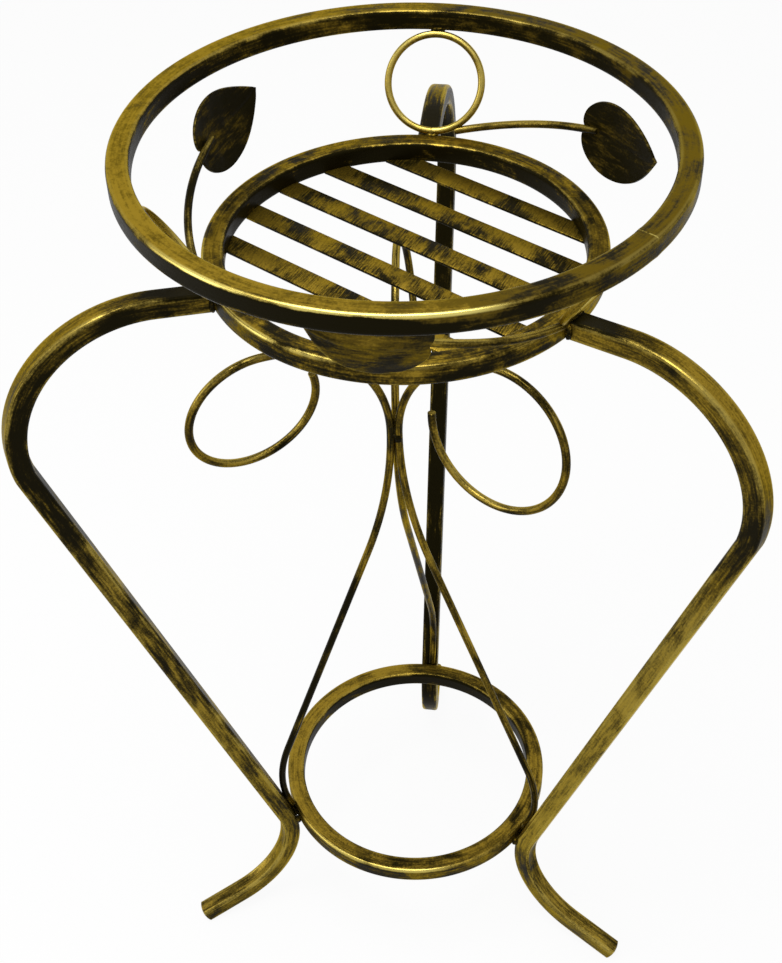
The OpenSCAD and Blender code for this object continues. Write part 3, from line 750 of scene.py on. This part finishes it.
def cut_leaf(name, azimuth, slope, turn):
    """A disc of sheet drawn out to a heart, dished, creased down its middle. Its tip
    is hooked a little to one side."""
    fresh()
    bpy.ops.mesh.primitive_circle_add(vertices=leaf_points, radius=leaf_length / 2,
                                      fill_type="NOTHING")
    leaf = bpy.context.object
    # the outline's points lie evenly along it, one in the notch and one at the tip
    turns = [pi * (i / line_points - 1) for i in range(2 * line_points + 1)]
    line = [Vector((cos(a), sin(a), 0)) * leaf_edge(a) for a in turns]
    gone = [0.0]
    for p, q in zip(line, line[1:]):
        gone.append(gone[-1] + (q - p).length)
    reached = 0
    for i, v in enumerate(leaf.data.vertices):
        while gone[reached] < gone[-1] * i / leaf_points:
            reached += 1
        v.co = line[reached]
    # rings of smaller outlines fill it, closest at the cut edge
    bpy.ops.object.mode_set(mode="EDIT")
    bpy.ops.mesh.select_all(action="SELECT")
    for share in (0.97, 0.93, 0.90, 0.88, 0.86, 0.84, 0.80, 0.75, 0.66, 0.5):
        bpy.ops.mesh.extrude_edges_move(TRANSFORM_OT_translate={"value": (0, 0, 0)})
        bpy.ops.transform.resize(value=(share,) * 3, center_override=(leaf_middle * 0.9, 0, 0))
    bpy.ops.mesh.merge(type="CENTER")
    bpy.ops.mesh.select_all(action="SELECT")
    bpy.ops.mesh.remove_doubles(threshold=10 * same_place)
    bpy.ops.mesh.normals_make_consistent(inside=False)
    bpy.ops.object.mode_set(mode="OBJECT")
    kept = leaf.data.attributes.new("leaf", "FLOAT_VECTOR", "POINT")
    flat = []
    ball = leaf_dish - leaf_sheet / 2
    for v in leaf.data.vertices:
        x, y = v.co.x, v.co.y
        # 0 on the cut edge and 1 in the notch, which the finish reads as 0 to 10
        inside = min(1, max(0, 1 - hypot(x, y) / max(leaf_edge(atan2(y, x)), 0.0005)))
        flat += [x, y, inside * 0.01]
        from_notch = min(1, max(0, (x - 0.004) / 0.01))
        crease = crease_lift * max(0, 1 - abs(y) / crease_reach) * from_notch
        dents = (noise.noise(Vector((x * 90, y * 90, azimuth))) * 0.35
                 + noise.noise(Vector((x * 240, y * 240, azimuth + 5))) * 0.12) * 0.001
        v.co.z = sqrt(ball ** 2 - (x - leaf_middle) ** 2 - y ** 2) - ball \
            + crease + dents * min(1, inside * 6)
        v.co.y += leaf_hook * max(0, (x / leaf_length - 0.5) / 0.5) ** 3
    kept.data.foreach_set("vector", flat)
    bpy.ops.object.modifier_add(type="SOLIDIFY")
    wall = leaf.modifiers[-1]
    wall.thickness, wall.offset = leaf_sheet, 0
    bpy.ops.object.modifier_apply(modifier=wall.name)
    bpy.ops.object.modifier_add(type="BEVEL")
    edge = leaf.modifiers[-1]
    edge.width, edge.segments = 0.00035, 2
    edge.limit_method, edge.angle_limit = "ANGLE", radians(50)
    bpy.ops.object.modifier_apply(modifier=edge.name)
    leaf.data.transform(
        on_stem(azimuth) @ Matrix.Translation((stem_bend, 0, 0))
        @ Matrix.Rotation(radians(stem_turn), 4, "Y")
        @ Matrix.Translation((-stem_bend, 0, 0)) @ Matrix.Rotation(radians(turn), 4, "Z")
        @ Matrix.Translation((lap - notch_sag - (stem_rod + leaf_sheet) / 2, 0, -leaf_lap))
        @ Matrix.Rotation(radians(slope), 4, "X") @ Matrix.Rotation(radians(-90), 4, "Y"))
    return close_up(leaf, name)


def leaf_paint(name, seed, cover):
    """Gold wiped thin over the black, a little fuller inside and on the cut edge, which
    also takes a pale painted highlight.
    """
    p = Paint(name, "leaf")
    x, y, inside = p.x, p.y, p.z
    bristle = p.any.grain(x * 0.10, y * 0.60, seed * 3.1, detail=4.0, rough=0.6, warp=0.9)
    patch = p.any.grain(x * 0.045, y * 0.100, seed * 9.0, rough=0.6, warp=0.8)
    speck = p.any.grain(x * 0.8, y * 0.8, seed, detail=4.0, rough=0.7)
    # the cut edge takes more gold and a pale painted highlight
    rim = 1 - inside.between(0.0, 0.45)
    drag_gold(p, cover + inside.between(1.5, 7) * 0.10, patch, bristle, speck, edge=rim * 0.75,
              edge_highlight=0.3, wiped=0.2, patchy=0.7, streaky=0.8, depth=1.2)
    return p.finish


# the leaf's slope and turn on its stem, and how much gold it has
for i, ((side, azimuth), (slope, turn, cover)) in enumerate(zip(
        hoop_places, ((-13.8, -11.8, 0.25), (-11, -21, 0.22), (-5, -18, 0.50)))):
    finish_piece(cut_leaf(side + "_leaf_sheet", azimuth, slope, turn),
                 leaf_paint(side + "_leaf_paint", 40 + i, cover), "dark_leaf", side + "_leaf")

# ------------------------------------------------------------------ welds
# Beads and spots of weld metal join it all. They are lumpy and were painted
# over with the rest, so that gold lies only on their high places.

root_bead, root_top_bead = (0.0017, 0.0017, 0.0046), (0.0014, 0.0042, 0.0012)
foot_bead, foot_middle_bead = (0.0021, 0.0021, 0.0026), (0.0013, 0.0044, 0.0018)
hoop_bead = (0.0018, 0.0034, 0.0018)
leg_drop = 0.4                              # how far below its root a leg meets the ring


def weld_bead(place, half_size, turned, seed):
    """One bead: a ball of metal drawn out and rippled across its length."""
    fresh()
    bpy.ops.mesh.primitive_ico_sphere_add(subdivisions=4, radius=1)
    bead = bpy.context.object
    for v in bead.data.vertices:
        q = v.co.copy()
        lump = noise.noise(q * 1.6 + Vector((seed, 0, 0)))
        q *= 1 + (0.05 * sin(q.z * 9 + seed) + 0.16 * lump)
        v.co = (q.x * half_size[0], q.y * half_size[1], q.z * half_size[2])
    bead.data.transform(Matrix.Translation(place) @ turned)
    return bead


def join_beads(name, beads):
    """Makes one piece of several beads, which stay whole where they cross."""
    fresh()
    for b in beads:
        b.select_set(True)
    bpy.context.view_layer.objects.active = beads[0]
    bpy.ops.object.join()
    return close_up(beads[0], name, merge=False)


def weld_paint(name, seed):
    """Black in the hollows, with gold on top."""
    p = Paint(name)
    bristle = p.any.grain(p.x * 0.7, p.y * 0.7, p.z * 0.7, seed, detail=4.0, rough=0.6)
    patch = p.any.grain(p.x * 0.22, p.y * 0.22, p.z * 0.22, seed * 3.0, detail=2.0)
    speck = p.any.grain(p.x * 1.6, p.y * 1.6, p.z * 1.6, seed, rough=0.7)
    drag_gold(p, 0.34 + p.facing[2] * 0.2, patch, bristle, speck, depth=1.4)
    return p.finish


leg_beads, foot_beads, hoop_beads = [], [], []
for i, (azimuth, tilt) in enumerate(leg_places.values()):
    out, turned = around(azimuth), Matrix.Rotation(radians(azimuth), 4, "Z")
    root_r = pot_ring_across / 2
    for side in (-1, 1):
        leg_beads.append(weld_bead(out @ Vector((root_r + 0.0004, side * tube_half, leg_start_z)),
                                   root_bead, turned, i * 5 + side))
        aside = side * (tube_half - 0.0003) + sin(radians(tilt)) * leg_drop
        foot_beads.append(weld_bead(out @ Vector((touch_r - 0.0004, aside, touch_z)),
                                    foot_bead, turned, i * 7 + side))
    foot_beads.append(weld_bead(out @ Vector((touch_r - 0.0005, 0, touch_z - 0.0004)),
                                foot_middle_bead, turned, i * 7 + 3))
    top = leg_start_z + tube_half + 0.0002
    leg_beads.append(weld_bead(out @ Vector((root_r + 0.0003, 0, top)),
                               root_top_bead, turned, i * 3 + 11))
for i, (side, azimuth) in enumerate(hoop_places):
    turned = Matrix.Rotation(radians(azimuth), 4, "Z")
    for end in (-1, 1):
        spot = hoop_middle + hoop_way * end * (hoop_radius + hoop_rod / 2 + 0.0002)
        hoop_beads.append(weld_bead(around(azimuth) @ spot, hoop_bead, turned, i * 9 + end))
knot_beads = [weld_bead(knot + Vector(off), half_size, Matrix.Identity(4), seed)
              for off, half_size, seed in (
                  ((0, 0, 0), (0.0030, 0.0030, 0.0060), 2),
                  ((0.0022, -0.0024, -0.0030), (0.0021, 0.0018, 0.0027), 6),
                  ((-0.0022, -0.0010, 0.0026), (0.0018, 0.0018, 0.0030), 9))]
for i, (name, beads) in enumerate((("leg_welds", leg_beads), ("foot_welds", foot_beads),
                                   ("hoop_welds", hoop_beads), ("knot_weld", knot_beads))):
    finish_piece(join_beads(name + "_beads", beads), weld_paint(name + "_paint", 50 + i),
                 "weld", name)

# ------------------------------------------------------- camera and studio
# A pale floor, a white surround, one wide soft lamp overhead and a weaker
# one from the left, and the camera at the photograph's viewing angle.

target = Vector((-0.009478, -0.033473, 0.32757))
above, aside, roll = radians(43.106), radians(9.732), radians(-1.757)
camera_distance, camera_lens, camera_sensor = 0.81777, 57.11, 36
backward = Vector((cos(above) * sin(aside), -cos(above) * cos(aside), sin(above)))
level = Vector((cos(aside), sin(aside), 0))
upward = level.cross(-backward)
camera = bpy.data.objects.new("camera", bpy.data.cameras.new("camera"))
bpy.context.scene.collection.objects.link(camera)
camera.matrix_world = Matrix((level * cos(roll) + upward * sin(roll),
                              upward * cos(roll) - level * sin(roll),
                              backward)).transposed().to_4x4()
camera.location = target + backward * camera_distance
camera.data.lens = camera_lens
camera.data.sensor_width = camera_sensor
bpy.context.scene.camera = camera


def background(tree):
    """1 where the camera sees it, mirrored or through glass too, and 0 for its light."""
    rays = [Shade(tree).make("LightPath", out=ray)
            for ray in ("Is Camera Ray", "Is Glossy Ray", "Is Transmission Ray")]
    return (rays[0] + rays[1] + rays[2]).clamp()


fresh()
bpy.ops.mesh.primitive_plane_add(size=12, location=(0, 0, 0))
floor = bpy.context.object
floor.name = "floor"
paper = bpy.data.materials.new("paper")
paper.use_nodes = True
matt = paper.node_tree.nodes["Principled BSDF"]
matt.inputs["Base Color"].default_value = (0.90, 0.90, 0.895, 1)
matt.inputs["Roughness"].default_value = 0.9
matt.inputs["Specular IOR Level"].default_value = 0.0
plain = Shade(paper.node_tree, matt.outputs[0])
glow = plain.make("Emission", {}, {"Color": (1, 1, 1, 1), "Strength": 1.0})
sheet = plain.make("MixShader", {}, {0: background(paper.node_tree) * 0.93, 1: plain, 2: glow})
paper.node_tree.links.new(sheet.socket, paper.node_tree.nodes["Material Output"].inputs[0])
floor.data.materials.append(paper)

world = bpy.data.worlds.new("studio")
bpy.context.scene.world = world
world.use_nodes = True
room_light = 0.42
strength = room_light + background(world.node_tree) * (1 - room_light)
surround = world.node_tree.nodes["Background"]
world.node_tree.links.new(strength.socket, surround.inputs["Strength"])
surround.inputs["Color"].default_value = (1, 1, 1, 1)


def lamp(name, size, power, place):
    """A soft rectangular lamp that shines on the middle of the stand."""
    light = bpy.data.lights.new(name, "AREA")
    light.shape, light.size, light.size_y, light.energy = "RECTANGLE", size[0], size[1], power
    o = bpy.data.objects.new(name, light)
    bpy.context.scene.collection.objects.link(o)
    o.location = place
    aim = Vector((0, 0, 0.3)) - Vector(place)
    o.rotation_euler = aim.to_track_quat("-Z", "Y").to_euler()


lamp("overhead", (0.9, 0.7), 15, (-0.15, -0.25, 1.7))
lamp("left_window", (0.7, 1.2), 7, (-1.5, -0.6, 1.0))

bpy.context.scene.view_settings.view_transform = "Standard"
